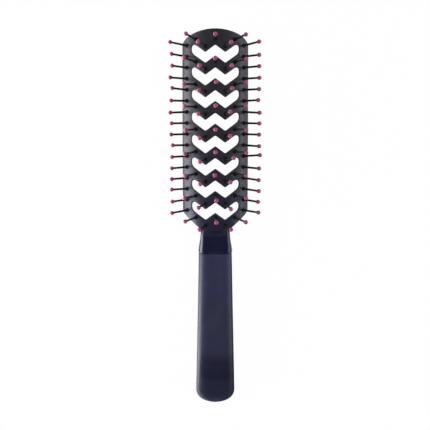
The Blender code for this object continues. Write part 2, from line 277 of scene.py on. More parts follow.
print("materials")
frameLook = dict(
    shell=(0.0085, 0.0086, 0.0135), neck=(0.0028, 0.003, 0.0205), haze=(0.0135, 0.013, 0.0175),
    cool=(0.0088, 0.0087, 0.0245), sheen=(0.87, 0.86, 1.0),
    shellRoughness=0.38, neckRoughness=0.2, blotch=7 * mm, grain=0.35 * mm, grainDepth=0.012 * mm,
    blotchEdge=(0.35, 0.7), hazed=0.6, blotchRoughness=0.07, grainRoughness=0.05, neckGrain=0.25, bump=0.5,
    glossStart=-1 * mm, glossEnd=6 * mm,  # from the neck's waist: above it satin, below it glossy
    coolEnd=62 * mm,  # and up to here the shell is a little bluer
    tipToWaist=124.3 * mm,
)


def mouldedFrame():
    look = frameLook
    material, shader, start, place = newMaterial("moulded_frame", Specular_IOR_Level=0.5)
    shader.inputs["Specular Tint"].default_value = (*look["sheen"], 1)
    waistY = tipY - look["tipToWaist"]
    satin = along(place, "Y").ramped(waistY + look["glossStart"], waistY + look["glossEnd"])
    cloud = noise(place, look["blotch"], 3).ramped(*look["blotchEdge"])
    fine = noise(place, look["grain"], 3, 0.6)
    warm = along(place, "Y").ramped(waistY + look["glossEnd"], waistY + look["coolEnd"])
    shell = warm.tint(look["cool"], (cloud * look["hazed"]).tint(look["shell"], look["haze"]))
    feed(shader, "Base Color", satin.tint(look["neck"], shell))
    rough = look["neckRoughness"] + satin * (look["shellRoughness"] - look["neckRoughness"])
    patchy = (cloud - 0.5) * look["blotchRoughness"]
    feed(shader, "Roughness", rough + patchy + (fine - 0.5) * look["grainRoughness"])
    grainHeight = look["neckGrain"] + satin * (1 - look["neckGrain"])
    bumped(shader, fine * grainHeight, look["grainDepth"], look["bump"])
    return material


gripLook = dict(
    colour=(0.0122, 0.0125, 0.046), worn=(0.018, 0.0185, 0.053), roughness=0.4,
    middle=(0.0122, 0.0127, 0.037), middleWorn=(0.0175, 0.0185, 0.044), lower=(0.0085, 0.0087, 0.0255),
    litHeel=(0.013, 0.0133, 0.034),
    middleStart=76 * mm, middleEnd=62 * mm,  # from the butt: the top's blue fades to the middle's grey, painted light and shade along the grip,
    lowerStart=36 * mm, lowerEnd=27 * mm,  # that darkens to painted shade where the grip falls away to the butt,
    litHeelStart=19 * mm, litHeelEnd=14 * mm,  # and the grip's end is painted a little lighter again
    blotch=9 * mm, smear=26 * mm, grain=0.3 * mm, grainDepth=0.02 * mm, bump=0.6,
    blotchEdge=(0.35, 0.68), smearEdge=(0.4, 0.65), blotchShare=0.6,  # of the wear; the rest is smears
    blotchRoughness=0.06, smearGloss=0.05, grainRoughness=0.06,
)


def softTouchGrip():
    look = gripLook
    material, shader, start, place = newMaterial("soft_touch_grip", Specular_IOR_Level=0.37)
    blotch = noise(place, look["blotch"], 4).ramped(*look["blotchEdge"])
    smear = noise(place, look["smear"], 2).ramped(*look["smearEdge"])
    grain = noise(place, look["grain"], 2, 0.65)
    wear = blotch * look["blotchShare"] + smear * (1 - look["blotchShare"])

    def above(part):  # 0 below the part's end, 1 above its start
        return along(place, "Y").ramped(buttY + look[part + "End"], buttY + look[part + "Start"])

    # Painted light and shade: the base colour changes along the grip, lighter and bluer on its top, painted
    # darker where it falls away; blotch and smear are wear
    greyed = wear.tint(look["middle"], look["middleWorn"])
    upper = above("middle").tint(greyed, wear.tint(look["colour"], look["worn"]))
    butt = above("litHeel").tint(look["litHeel"], look["lower"])
    feed(shader, "Base Color", above("lower").tint(butt, upper))
    patchy = (blotch - 0.5) * look["blotchRoughness"] - smear * look["smearGloss"]
    feed(shader, "Roughness", look["roughness"] + (patchy + (grain - 0.5) * look["grainRoughness"]))
    bumped(shader, grain, look["grainDepth"], look["bump"])
    return material


nylonLook = dict(
    dark=(0.003, 0.003, 0.004), light=(0.007, 0.007, 0.009), roughness=0.42,
    flow=2.2 * mm, grain=0.25 * mm, grainDepth=0.008 * mm, bump=0.4,
    flowRoughness=0.12, grainRoughness=0.05,
)


def blackNylon():
    look = nylonLook
    material, shader, start, place = newMaterial("nylon_pin", Specular_IOR_Level=0.15)
    flow = noise(place, look["flow"], 3)
    fine = noise(place, look["grain"], 2)
    feed(shader, "Base Color", flow.tint(look["dark"], look["light"]))
    rough = look["roughness"] + flow * look["flowRoughness"]
    feed(shader, "Roughness", rough + fine * look["grainRoughness"])
    bumped(shader, fine, look["grainDepth"], look["bump"])
    return material


tipLook = dict(
    colour=(0.345, 0.05, 0.145), deep=(0.235, 0.03, 0.092), side=(0.085, 0.006, 0.03),
    thin=(0.035, 0.003, 0.012), roughness=0.4, coat=0.35,
    thinTo=0.12, fullFrom=0.36,  # as shares of the tip's height: thin on the shaft, full on the ball,
    shadedSideTo=0.52, litTopFrom=0.97,  # and round the ball's side the colour is painted shade, with its top painted lighter
    pool=1.1 * mm, grain=0.2 * mm, unevenness=0.02 * mm, bump=0.25,
    pooled=0.5, ballGloss=0.18, poolRoughness=0.06, grainRoughness=0.04, grainShare=0.4,
)


def dippedTip():
    look = tipLook
    material, shader, start, place = newMaterial("dipped_tip", Coat_Roughness=0.06, Specular_IOR_Level=0.2)
    dip = start.node("ShaderNodeAttribute", {"attribute_name": "dip"}, {}, "Fac")
    pool = noise(place, look["pool"], 2)
    fine = noise(place, look["grain"], 2)
    covered = dip.ramped(look["thinTo"], look["fullFrom"])
    # Painted shade and light: the ball's side takes the dark side colour and its top the lighter one
    top = dip.ramped(look["shadedSideTo"], look["litTopFrom"])
    body = top.tint(look["side"], (pool * look["pooled"]).tint(look["colour"], look["deep"]))
    feed(shader, "Base Color", covered.tint(look["thin"], body))
    rough = look["roughness"] - covered * look["ballGloss"]
    feed(shader, "Roughness", rough + pool * look["poolRoughness"] + fine * look["grainRoughness"])
    feed(shader, "Coat Weight", covered * look["coat"])
    height = fine * look["grainShare"] + pool * (1 - look["grainShare"])
    bumped(shader, height, look["unevenness"], look["bump"])
    return material


finishes = {
    "moulded_frame": mouldedFrame(),
    "soft_touch_grip": softTouchGrip(),
    "nylon_pin": blackNylon(),
    "dipped_tip": dippedTip(),
}


def finished(piece, slot, *nodes):
    piece.data.materials.clear()
    piece.data.materials.append(finishes[slot])
    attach(piece, "root")
    if nodes:
        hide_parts(*nodes)
    return piece


print("head: arched shell")
head = dict(
    width=40 * mm, crossRadius=24.1 * mm, lengthRadius=540 * mm, wall=2 * mm, middleToTip=62.5 * mm,
    tipRounding=8.9 * mm, tipPower=1.85, tipSteps=28, tipLast=0.004, margin=0.3 * mm, spare=2 * mm,
    shoulder=48.4 * mm, shoulderRounding=4 * mm, throat=58.4 * mm, throatRounding=2 * mm, shellEnd=63 * mm,
    stripsAcross=72, stripsAlong=48, cornerSteps=8, backEdge=0.25 * mm, uprightTo=16 * mm,
    rolls=((0.35 * mm, 0.3 * mm), (0.35 * mm, 0.06 * mm)),  # the face rolls off to its edges, (in, up)
)
middleY = tipY - head["middleToTip"]
edgeAngle = math.asin(head["width"] / 2 / head["crossRadius"])


def archPlace(along, around):  # on the outer face, by arc length from its middle and angle from its crown
    toLengthAxis = Matrix.Translation((0, middleY, crown - head["lengthRadius"]))
    lean = Matrix.Rotation(-along / head["lengthRadius"], 4, "X")
    toCrossAxis = Matrix.Translation((0, 0, head["lengthRadius"] - head["crossRadius"]))
    swing = Matrix.Rotation(around, 4, "Y")
    return toLengthAxis @ lean @ toCrossAxis @ swing @ Matrix.Translation((0, 0, head["crossRadius"]))


def crownAt(y):
    return crown - head["lengthRadius"] + math.sqrt(head["lengthRadius"] ** 2 - (y - middleY) ** 2)


def archedPlate():  # flat as seen from above, its edges rounded, ruled into strips and then arched
    plate = headOutline()
    cutBy(plate, "DIFFERENCE", ventCutters())
    editing(plate)
    roundBackEdges(plate)
    half = head["width"] / 2
    for x in spread(-half, half, head["stripsAcross"])[1:-1]:
        bpy.ops.mesh.select_all(action="SELECT")
        bpy.ops.mesh.bisect(plane_co=(x, 0, 0), plane_no=(1, 0, 0))
    for y in spread(middleY - head["shellEnd"], tipY, head["stripsAlong"])[1:-1]:
        bpy.ops.mesh.select_all(action="SELECT")
        bpy.ops.mesh.bisect(plane_co=(0, y, 0), plane_no=(0, 1, 0))
    bpy.ops.mesh.select_all(action="SELECT")
    bpy.ops.mesh.remove_doubles(threshold=3 * near)
    doneEditing()
    for vert in plate.data.vertices:
        vert.co = arched(*vert.co)
    return plate


def roundBackEdges(plate):  # in edit mode: only the sharp edges of the flat back
    bpy.ops.mesh.select_all(action="DESELECT")
    bpy.ops.mesh.select_mode(type="EDGE")
    bpy.ops.mesh.edges_select_sharp(sharpness=math.radians(70))
    cage = bmesh.from_edit_mesh(plate.data)
    for edge in cage.edges:
        if any(vert.co.z > near - head["wall"] for vert in edge.verts):
            edge.select_set(False)
    bpy.ops.mesh.bevel(affect="EDGES", offset=head["backEdge"], segments=2, clamp_overlap=False)
    bpy.ops.mesh.select_mode(type="VERT")


def arched(x, y, z):  # cut walls stay upright, and the rails' outer walls turn square to the shell
    outward = (abs(x) - head["uprightTo"]) / (head["width"] / 2 - head["uprightTo"])
    upright = 1 - eased(0, 1, min(max(outward, 0), 1))
    around = math.asin(x / (head["crossRadius"] + z * upright))
    reach = head["lengthRadius"] - head["crossRadius"] + (head["crossRadius"] + z) * math.cos(around)
    along = head["lengthRadius"] * math.asin((y - middleY) / reach)
    return archPlace(along, around) @ Vector((0, 0, z))


def headOutline():  # a flat plate with the head's outline from above, its face at z = 0
    half = head["width"] / 2
    neckHalf = neck["waistWidth"] / 2 - head["margin"]
    roundingStart = head["middleToTip"] - head["tipRounding"]
    length = roundingStart + head["shoulder"]
    outline = startPlate(2 * half, length, middleY + roundingStart - length / 2, -head["wall"])

    def extruded(fromY, toY, narrowing):
        pickVerts(lambda co: abs(co.y - fromY) < near)
        bpy.ops.mesh.extrude_region_move(TRANSFORM_OT_translate={"value": (0, toY - fromY, 0)})
        bpy.ops.transform.resize(value=(narrowing, 1, 1), center_override=(0, toY, 0))

    y, across = middleY + roundingStart, 1
    for step in range(1, head["tipSteps"] + 1):
        turn = math.pi / 2 * (1 - step / head["tipSteps"])
        nextAcross = max(math.sin(turn), head["tipLast"]) ** (2 / head["tipPower"])
        nextY = middleY + roundingStart + head["tipRounding"] * math.cos(turn) ** (2 / head["tipPower"])
        extruded(y, nextY, nextAcross / across)
        y, across = nextY, nextAcross
    shoulderY, throatY = middleY - head["shoulder"], middleY - head["throat"]
    extruded(shoulderY, throatY, neckHalf / half)
    extruded(throatY, middleY - head["shellEnd"], 1)
    bpy.ops.mesh.select_all(action="SELECT")
    bpy.ops.mesh.dissolve_faces()
    turn = math.atan2(half - neckHalf, shoulderY - throatY)
    for cornerY, radius in ((shoulderY, head["shoulderRounding"]), (throatY, head["throatRounding"])):
        pickVerts(lambda co: abs(co.y - cornerY) < near)
        reach = radius * math.tan(turn / 2)
        steps = head["cornerSteps"]
        bpy.ops.mesh.bevel(affect="VERTICES", offset=reach, segments=steps, offset_type="OFFSET")
    raisePrism(head["wall"] - sum(up for inward, up in head["rolls"]))
    editing(outline)
    for inward, up in head["rolls"]:  # towards the tip and the neck only: the rails stay crisp
        top = max(vert.co.z for vert in outline.data.vertices)
        pickVerts(lambda co: co.z > top - near)
        bpy.ops.mesh.extrude_region_move(TRANSFORM_OT_translate={"value": (0, 0, up)})
        narrowing = (1, 1 - inward / head["middleToTip"], 1)
        bpy.ops.transform.resize(value=narrowing, center_override=(0, middleY, 0))
        outline.update_from_editmode()
    bpy.ops.mesh.select_all(action="SELECT")
    bpy.ops.mesh.normals_make_consistent(inside=False)
    doneEditing()
    return settle(outline, "outline")


def raisePrism(height):  # from a flat face in edit mode to a closed prism
    bpy.ops.mesh.select_all(action="SELECT")
    bpy.ops.mesh.extrude_region_move(TRANSFORM_OT_translate={"value": (0, 0, height)})
    bpy.ops.mesh.select_all(action="SELECT")
    bpy.ops.mesh.normals_make_consistent(inside=False)
    doneEditing()


neck = dict(
    root=57.9 * mm, rootWidth=15.6 * mm, rootDepth=3.4 * mm, rootCorner=1.2 * mm,
    waist=61.8 * mm, waistWidth=18.3 * mm, waistDepth=7.6 * mm, waistCorner=3.3 * mm,
    collar=72.7 * mm, collarWidth=20.95 * mm, collarTop=10.4 * mm, collarBottom=0.3 * mm,
    collarCorner=5 * mm, steps=10, cornerSteps=10,
)


def neckBody():
    rootY, waistY, collarY = (middleY - neck[part] for part in ("root", "waist", "collar"))
    rootHigh = crownAt(rootY) - head["wall"] / 2
    waistHigh = crownAt(waistY)
    stations = [
        (rootY, neck["rootWidth"] / 2, rootHigh - neck["rootDepth"], rootHigh, neck["rootCorner"]),
        (waistY, neck["waistWidth"] / 2, waistHigh - neck["waistDepth"], waistHigh, neck["waistCorner"]),
        (collarY, neck["collarWidth"] / 2, neck["collarBottom"], neck["collarTop"], neck["collarCorner"]),
    ]
    sections = [stations[0]]
    for first, second in zip(stations, stations[1:]):
        for step in range(1, neck["steps"] + 1):
            share = step / neck["steps"]
            y, half, low, high, corner = [eased(a, b, share) for a, b in zip(first, second)]
            y = first[0] + (second[0] - first[0]) * share
            if first[0] == waistY:  # the top falls straight to the collar
                high = first[3] + (second[3] - first[3]) * share
            sections.append((y, half, low, high, corner))
    return loft("neck", sections, neck["cornerSteps"])


print("head: vents, neck and tang")
vents = dict(
    count=8, pitch=13.5 * mm, first=53 * mm, rail=5.9 * mm, valleyShare=0.422, slope=0.74, band=6.35 * mm,
    corner=0.9 * mm, endCorner=1.9 * mm, endFoot=3.9 * mm, bendSteps=6, endSteps=8, loose=0.01 * mm,
)


def ventBand():  # one zigzag opening, its middle peak at y = 0, drawn wide at the face and tapered in
    roll = sum(inward for inward, up in head["rolls"])
    slope = vents["slope"]
    valley = (head["width"] / 2 - vents["rail"]) * vents["valleyShare"]
    halfWidth = head["width"] / 2 - vents["rail"] + roll
    wide = vents["band"] + 2 * roll * math.hypot(1, slope)
    middle = -vents["band"] / 2
    band = startPlate(2 * halfWidth, wide, middle, head["spare"])
    for cut in (-valley, 0, valley):
        bpy.ops.mesh.select_all(action="SELECT")
        bpy.ops.mesh.bisect(plane_co=(cut, 0, 0), plane_no=(1, 0, 0))
    for across, down in ((valley, valley), (halfWidth, 2 * valley - halfWidth)):
        pickVerts(lambda co: abs(abs(co.x) - across) < vents["loose"])
        bpy.ops.transform.translate(value=(0, -down * slope, 0))
    bpy.ops.mesh.select_all(action="SELECT")
    bpy.ops.mesh.dissolve_faces()
    bendTurn = 2 * math.atan(slope)

    def atBend(co):
        return any(abs(abs(co.x) - x) < vents["loose"] for x in (0, valley))

    def pointsOut(co):
        return (co.y + abs(co.x) * slope > middle) == (abs(co.x) < valley / 2)

    for outward in (True, False):  # corners of the opening, then points of the shell that stand into it
        pickVerts(lambda co: atBend(co) and pointsOut(co) == outward)
        reach = (vents["corner"] + (roll if outward else -roll)) * math.tan(bendTurn / 2)
        steps = vents["bendSteps"]
        bpy.ops.mesh.bevel(affect="VERTICES", offset=reach, segments=steps, offset_type="OFFSET")
    endMiddle = middle - slope * (2 * valley - halfWidth)
    for end, radius in ((1, vents["endCorner"]), (-1, vents["endFoot"])):
        cornerY = endMiddle + end * wide / 2
        loose = vents["loose"]
        pickVerts(lambda co: abs(co.x) > halfWidth - loose and abs(co.y - cornerY) < loose)
        turn = math.pi / 2 + end * bendTurn / 2
        reach = (radius + roll) * math.tan(turn / 2)
        steps = vents["endSteps"]
        bpy.ops.mesh.bevel(affect="VERTICES", offset=reach, segments=steps, offset_type="OFFSET")
    raisePrism(-head["spare"])
    editing(band)
    depth = 0
    for inward, up in reversed(head["rolls"]):
        pickVerts(lambda co: co.z < -depth + near)
        bpy.ops.mesh.inset(thickness=inward, depth=up)
        depth += up
    pickVerts(lambda co: co.z < -depth + near)
    rest = head["wall"] + head["spare"] - depth
    bpy.ops.mesh.extrude_region_move(TRANSFORM_OT_translate={"value": (0, 0, -rest)})
    bpy.ops.mesh.select_all(action="SELECT")
    bpy.ops.mesh.normals_make_consistent(inside=False)
    doneEditing()
    return settle(band, "vent")


def ventCutters():
    first = ventBand()
    bands = []
    for count in range(vents["count"]):
        reach = (vents["first"] - count * vents["pitch"]) / head["lengthRadius"]
        band = copied(first, f"vent_{count + 1}")
        band.location.y = middleY + head["lengthRadius"] * math.sin(reach)
        bands.append(band)
    bpy.data.objects.remove(first, do_unlink=True)
    for band in bands:
        settle(band, band.name)
    return joined(bands, "vents")


grip = dict(
    grooveDepth=0.35 * mm, grooveSide=0.12 * mm, wall=1.8 * mm, clearance=0.3 * mm,
    tangStart=2 * mm, tangFull=1 * mm, tangStep=0.02 * mm, tangEnd=22 * mm, tangSteps=18,
    hollowSpare=1 * mm, hollowSteps=12,
    startWidth=20.45 * mm, endWidth=24.05 * mm, swellPower=1.15, startHeight=10.8 * mm,
    peakHeight=12.8 * mm, peakToButt=35.5 * mm, fallRadius=120 * mm, corner=4.6 * mm, stretch=1.6,
    lip=0.35 * mm, buttRounding=8.8 * mm, buttPower=2.2, buttFlattening=0.65, buttEnd=0.05, cornerRoom=0.96,
    steps=30, buttSteps=16, lipSteps=4, cornerSteps=10,
)


def gripHeight(y):  # straight up to the highest place, then falling away on an arc
    peakY = buttY + grip["peakToButt"]
    if y < peakY:
        radius = grip["fallRadius"]
        return grip["peakHeight"] - radius + math.sqrt(radius**2 - (peakY - y) ** 2)
    share = max(gripStartY - y, 0) / (gripStartY - peakY)
    return grip["startHeight"] + (grip["peakHeight"] - grip["startHeight"]) * share


def gripSection(y, inset):
    share = max(gripStartY - y, 0) / (gripStartY - buttY - grip["buttRounding"])
    swell = (grip["endWidth"] - grip["startWidth"]) * share ** grip["swellPower"]
    half = (grip["startWidth"] + swell) / 2
    return (y, half - inset, inset, gripHeight(y) - inset, grip["corner"] - inset)


def tang():  # from inside the collar, past the groove and on inside the grip
    inset = grip["wall"] + grip["clearance"]
    grooveEnd = gripStartY + grip["clearance"]
    collarY = middleY - neck["collar"]
    sections = [gripSection(collarY + grip["tangStart"], inset)]
    for y in (collarY + grip["tangFull"], grooveEnd):
        y, half, low, high, corner = gripSection(y, grip["grooveDepth"])
        sections.append((y, half + grip["grooveDepth"] - grip["grooveSide"], low, high, corner))
    inside = spread(grooveEnd - grip["tangStep"], buttY + grip["tangEnd"], grip["tangSteps"])
    sections += [gripSection(y, inset) for y in inside]
    return loft("tang", sections, grip["cornerSteps"], grip["stretch"])


pins = dict(
    rows=9, pitch=13.5 * mm, firstRow=56.75 * mm, innerSetback=4.55 * mm,
    railPins=16, railSetback=2.97 * mm, railInset=4.33 * mm, railToOuter=6.81 * mm,
    reach=12.3 * mm, coat=1.32 * mm, ball=1.22 * mm,
    shaftRoot=0.65 * mm, shaftEnd=0.6 * mm, boss=1.35 * mm, bossHeight=0.9 * mm, bossTurn=28,
    fillet=0.3 * mm, filletFoot=(0.1 * mm, 0.05 * mm), spigot=0.5 * mm, hole=0.85 * mm, holeSpare=3 * mm,
    nailHead=1.2 * mm, nailThickness=0.6 * mm, nailEdge=0.15 * mm,
    sunk=0.04 * mm, behind=0.05 * mm, collar=0.7 * mm, skin=0.012 * mm, bend=3 * mm,
    sides=16, holeSides=12, ballSteps=9, bossSteps=5, coatSteps=11, shaftRings=(0.33, 0.66),
    coatTurn=153,  # degrees from the ball's top, and then the coat's way down the shaft, (out, up):
    run=((0.07 * mm, 0.45 * mm), (0.06 * mm, 0.08 * mm), (0.02 * mm, 0)), runInside=0.01 * mm,
)
railAngle = edgeAngle - pins["railInset"] / head["crossRadius"]
outerAngle = railAngle - pins["railToOuter"] / head["crossRadius"]
sides = (("left", -1), ("right", 1))


def rowPlaces():
    places = {}
    for row in range(pins["rows"]):
        along = pins["firstRow"] - row * pins["pitch"]
        places[f"pin_row{row + 1}_centre"] = (along, 0)
        for side, sign in sides:
            places[f"pin_row{row + 1}_inner_{side}"] = (along - pins["innerSetback"], sign * outerAngle / 2)
            places[f"pin_row{row + 1}_outer_{side}"] = (along, sign * outerAngle)
    return places


def railPlaces(sign):
    first = pins["firstRow"] - pins["railSetback"]
    return [(first - count * pins["pitch"] / 2, sign * railAngle) for count in range(pins["railPins"])]


def holeCutters():
    depth = head["wall"] + pins["holeSpare"]
    top = [(0, depth / 2), (pins["hole"], depth / 2), (pins["hole"], -depth / 2), (0, -depth / 2)]
    peg = turned("peg", top, pins["holeSides"])
    pegs = []
    for along, around in [*rowPlaces().values(), *railPlaces(-1), *railPlaces(1)]:
        copy = copied(peg, "hole")
        copy.data.transform(archPlace(along, around) @ Matrix.Translation((0, 0, -head["wall"] / 2)))
        pegs.append(copy)
    bpy.data.objects.remove(peg, do_unlink=True)
    return joined(pegs, "holes")


frameBody = archedPlate()
cutBy(frameBody, "UNION", neckBody())
cutBy(frameBody, "UNION", tang())
cutBy(frameBody, "DIFFERENCE", holeCutters())
settle(frameBody, "head_and_neck")
smoothed(frameBody, angle=40)
finished(frameBody, "moulded_frame", "head_frame")
print("head and neck:", len(frameBody.data.polygons), "faces")


print("grip sleeve")


def gripSleeve():
    lip = grip["lip"]
    sections = []
    for step in range(grip["lipSteps"]):
        turn = math.pi / 2 * step / grip["lipSteps"]
        sections.append(gripSection(gripStartY - lip * (1 - math.cos(turn)), lip * (1 - math.sin(turn))))
    roundingY = buttY + grip["buttRounding"]
    sections += [gripSection(y, 0) for y in spread(gripStartY - lip, roundingY, grip["steps"])]
    lastTurn = math.acos(grip["buttEnd"])
    for step in range(1, grip["buttSteps"] + 1):
        turn = lastTurn * step / grip["buttSteps"]
        narrow = math.cos(turn) ** (2 / grip["buttPower"])
        y = roundingY - grip["buttRounding"] * math.sin(turn) ** (2 / grip["buttPower"])
        half = grip["endWidth"] / 2 * narrow
        middle = gripHeight(y) / 2
        tall = middle * (1 - grip["buttFlattening"] * (1 - narrow))
        room = grip["cornerRoom"]
        corner = min(grip["corner"], room * half / grip["stretch"], room * tall)
        sections.append((y, half, middle - tall, middle + tall, corner))
    return loft("grip_sleeve_soft", sections, grip["cornerSteps"], grip["stretch"])


def sleeveHollow():
    start = gripStartY + grip["hollowSpare"]
    end = buttY + grip["tangEnd"] - grip["clearance"]
    inside = [gripSection(y, grip["wall"]) for y in spread(start, end, grip["hollowSteps"])]
    return loft("hollow", inside, grip["cornerSteps"], grip["stretch"])


sleeve = gripSleeve()
cutBy(sleeve, "DIFFERENCE", sleeveHollow())
smoothed(sleeve, angle=40)
finished(sleeve, "soft_touch_grip", "grip_sleeve")


print("pins")


def arc(count, start, end, radius, height):  # points round a ball's middle, by angles from straight up
    turns = spread(start, end, count)
    return [(radius * math.sin(turn), height + radius * math.cos(turn)) for turn in turns]


def pinProfile(foot):
    ballNeck = math.pi - math.asin(pins["shaftEnd"] / pins["ball"])
    profile = arc(pins["ballSteps"], 0, ballNeck, pins["ball"], pins["reach"])
    bossTop = pins["bossHeight"]
    top = profile[-1][1]
    for share in pins["shaftRings"]:
        radius = pins["shaftEnd"] + (pins["shaftRoot"] - pins["shaftEnd"]) * share
        profile.append((radius, top + (bossTop + pins["fillet"] - top) * share))
    profile.append((pins["shaftRoot"], bossTop + pins["fillet"]))
    out, up = pins["filletFoot"]
    profile.append((pins["shaftRoot"] + out, bossTop + up))
    for turn in spread(math.radians(pins["bossTurn"]), math.pi / 2, pins["bossSteps"]):
        profile.append((pins["boss"] * math.sin(turn), bossTop * math.cos(turn)))
    profile.append((pins["boss"], -pins["sunk"]))
    profile.append((pins["spigot"], -pins["sunk"]))
    return profile + foot


def nailFoot():
    behind = -head["wall"] - pins["behind"]
    edge = pins["nailEdge"]
    end = behind - pins["nailThickness"]
    wide = pins["nailHead"]
    return [
        (pins["spigot"], behind), (wide - edge, behind), (wide, behind - edge), (wide, end + edge),
        (wide - edge, end), (0, end),
    ]


def coatProfile():  # a skin on the ball that runs a little way down the shaft, closed on its inside
    outside = arc(pins["coatSteps"], 0, math.radians(pins["coatTurn"]), pins["coat"], pins["reach"])
    shaft = pins["shaftEnd"] + pins["skin"]
    foot = pins["reach"] - pins["coat"] - pins["collar"]
    outside += [(shaft + out, foot + up) for out, up in pins["run"]]
    inner = pins["ball"] + pins["skin"]
    inside = arc(pins["ballSteps"], math.pi - math.asin(shaft / inner), 0, inner, pins["reach"])
    return outside + [(shaft, foot + pins["runInside"])] + inside


def markHeights(piece, name, low, high):  # a value from 0 to 1 up the piece, for its material
    mark = piece.data.attributes.new(name, "FLOAT", "POINT")
    for vert in piece.data.vertices:
        mark.data[vert.index].value = min(max((vert.co.z - low) / (high - low), 0), 1)


# Leans that show in the photograph, in degrees across and along; the other pins lean a little by chance
leans = {
    "pin_row1_outer_left": (3, 5), "pin_row2_outer_left": (-3, 3.5), "pin_row3_outer_left": (-3, -4),
    "pin_row1_outer_right": (-1, 3), "pin_row3_inner_right": (2, 4), "pin_row4_inner_right": (-3.5, 5),
    "pin_row5_inner_right": (-3.5, 3.5), "pin_row6_inner_right": (7, 8),
    "pin_row7_inner_right": (-2.5, 5.5), "pin_row8_inner_right": (-1, -5), "pin_row7_centre": (-2, 3.5),
    "pin_row8_centre": (2.5, -2), "pin_row1_inner_left": (-4, 1.5), "pin_row4_inner_left": (-4, -0.5),
    "pin_row8_inner_left": (-4, -1.5), "rail_left_1": (-6, 3.5), "rail_left_4": (-5, 0),
    "rail_left_7": (-5.5, -2.5), "rail_left_10": (4.5, 1.5), "rail_right_11": (3.5, 5.5),
    "rail_right_6": (-5, 0), "rail_right_1": (-2, 3.5), "rail_right_7": (1, -3),
    "pin_row9_centre": (2.5, 0.5), "pin_row6_centre": (0, 2.5), "pin_row8_outer_left": (-2.5, 1.5),
    "pin_row9_outer_right": (1, -3), "pin_row6_outer_left": (-0.5, -3.5), "pin_row5_outer_left": (2, -2),
    "rail_right_15": (-3, 0.5), "pin_row3_inner_left": (-2.5, -1), "pin_row8_outer_right": (1, 2.5),
    "pin_row6_inner_left": (0.5, -2.5), "rail_left_13": (-0.5, 1.5), "rail_left_5": (3.5, 1.5),
    "rail_left_14": (-1, 3.5), "pin_row5_inner_left": (0, -2), "rail_left_3": (3.5, 0),
}


byChance = 1.6
railSplay = {"rail_left": -1.0, "rail_right": 1.2}  # the rails' pins all lean out a little,
rowSplay, allBack = 0.7, 0.8  # the rows' to the right, and all of them towards the handle


def leanOf(name):
    chance = (random.uniform(-byChance, byChance), random.uniform(-byChance, byChance))
    across, along = leans.get(name, chance)
    splay = railSplay.get(name.rsplit("_", 1)[0], rowSplay)
    return across + splay, along - allBack


def stand(piece, place, lean):  # bends the piece over from its boss up, then puts it in its place
    acrossTurn, alongTurn = (math.radians(angle) for angle in lean)
    for vert in piece.data.vertices:
        share = min(max((vert.co.z - pins["bossHeight"]) / pins["bend"], 0), 1)
        turn = Matrix.Rotation(acrossTurn * share, 3, "Y") @ Matrix.Rotation(-alongTurn * share, 3, "X")
        vert.co = turn @ vert.co
    piece.data.transform(archPlace(*place))


def pinPair(shaft, coat, name, place, lean):
    pair = copied(shaft, name + "_shaft"), copied(coat, name + "_tip")
    for piece in pair:
        stand(piece, place, lean)
    return pair


def rowPins(coat):
    shaft = turned("pin", pinProfile(nailFoot()), pins["sides"])
    smoothed(shaft, angle=50)
    for name, place in rowPlaces().items():
        core, tip = pinPair(shaft, coat, name, place, leanOf(name))
        finished(core, "nylon_pin", name)
        finished(tip, "dipped_tip")
    bpy.data.objects.remove(shaft, do_unlink=True)


carrier = dict(width=2.6 * mm, thickness=0.9 * mm, gap=0.05 * mm, corner=0.2 * mm, taper=0.3 * mm, steps=30)


def carrierStrip(sign):  # lofted straight along Y, then laid behind the rail
    places = railPlaces(sign)
    start = places[0][0] + carrier["width"] / 2
    end = places[-1][0] - carrier["width"] / 2
    half = carrier["width"] / 2
    top = -head["wall"] - carrier["gap"]
    taper = carrier["taper"]
    rest = (top - carrier["thickness"], top, carrier["corner"])
    sections = [(start, half - taper, *rest)]
    sections += [(y, half, *rest) for y in spread(start - taper, end + taper, carrier["steps"])]
    sections.append((end, half - taper, *rest))
    strip = loft("carrier", sections, 3)
    for vert in strip.data.vertices:
        vert.co = archPlace(vert.co.y, sign * railAngle) @ Vector((vert.co.x, 0, vert.co.z))
    return strip


def railPins(side, sign, coat):
    spigotEnd = -head["wall"] - carrier["gap"] - carrier["thickness"] / 2
    shaft = turned("rail_pin", pinProfile([(pins["spigot"], spigotEnd), (0, spigotEnd)]), pins["sides"])
    shafts, tips = [], []
    for count, place in enumerate(railPlaces(sign)):
        name = f"rail_{side}_{count + 1}"
        core, tip = pinPair(shaft, coat, name, place, leanOf(name))
        shafts.append(core)
        tips.append(tip)
    bpy.data.objects.remove(shaft, do_unlink=True)
    rail = carrierStrip(sign)
    cutBy(rail, "UNION", joined(shafts, "shafts"))
    settle(rail, f"rail_pins_{side}_shafts")
    smoothed(rail, angle=50)
    finished(rail, "nylon_pin", f"rail_pins_{side}")
    finished(joined(tips, f"rail_pins_{side}_tips"), "dipped_tip")


coat = turned("coat", coatProfile(), pins["sides"])
markHeights(coat, "dip", pins["reach"] - pins["coat"] - pins["collar"], pins["reach"] + pins["coat"])
smoothed(coat, angle=60)
rowPins(coat)
for side, sign in sides:
    railPins(side, sign, coat)
bpy.data.objects.remove(coat, do_unlink=True)


print("studio")
studio = dict(
    radius=1.6, height=0.62, bend=0.3, under=0.05 * mm, white=0.97, paper=(0.84, 0.84, 0.85),
    tipFlag=(0.112, 0.14), buttFlag=(-0.118, -0.108),  # past tip and butt, the gloss sees less paper
    darkInGloss=(0.012, 0.15, 0.3), darkInGlossTop=(-0.03, -0.015), darkInGlossDark=0.94,  # and right of the handle the paper is painted black in the gloss only, a painted dark reflection
    dark=0.05, ceiling=0.35, band=(-0.37, -0.21),  # the ceiling is lit across the brush only,
    leftWash=1.35, leftFrom=-0.5, leftFade=(0.1, 0.4), leftFaded=0.5,  # brighter to the left,
    rightWash=1.22, rightFrom=0.61, rightFull=0.95,  # and to the right
)


